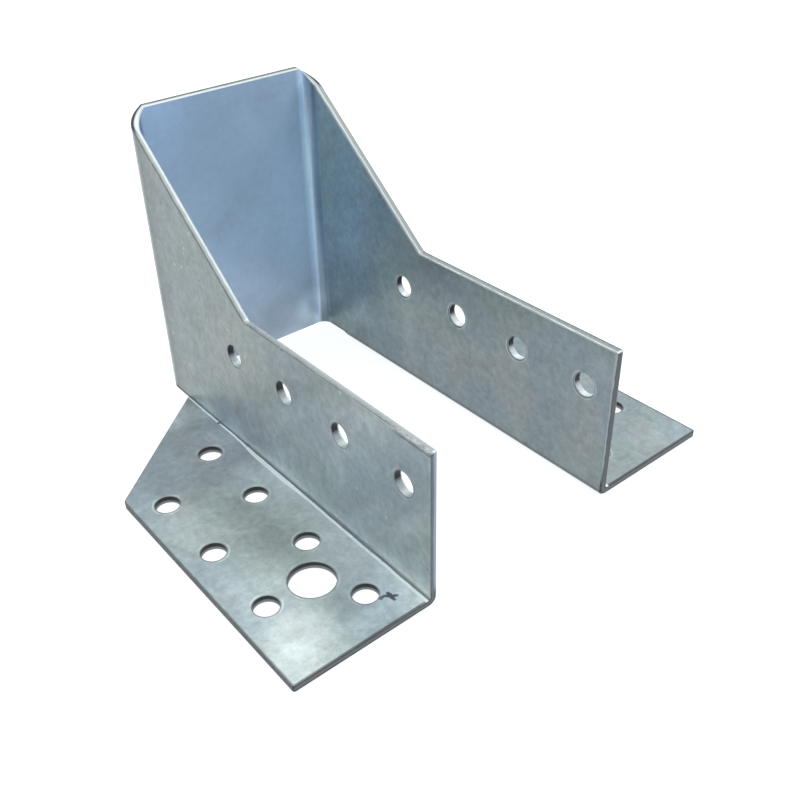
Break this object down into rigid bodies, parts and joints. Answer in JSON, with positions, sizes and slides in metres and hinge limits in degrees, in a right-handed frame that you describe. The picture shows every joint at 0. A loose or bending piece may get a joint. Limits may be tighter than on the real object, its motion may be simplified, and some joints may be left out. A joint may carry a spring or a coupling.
{
  "type": "joist hanger",
  "caption": "Folded zinc-coated steel joist hanger: a deep seat, two cut-back side walls and outward header flanges, punched for nails and bolts.",
  "frame": {"origin": "middle of the hanger's footprint on the plane of the flange backs, halfway between the side walls", "axes": "+X across the hanger, +Y from the open ends of the walls towards the seat (down, once it is fixed to a header), +Z away from the header along the joist"},
  "size_m": [0.109, 0.0978, 0.0695],
  "materials": {
    "zinc_coated_steel": "smooth zinc coating on cold-rolled sheet, satin, with a faint blue-green cast"
  },
  "bodies": {
    "root": {"joist_hanger": "zinc_coated_steel"}
  },
  "joints": []
}
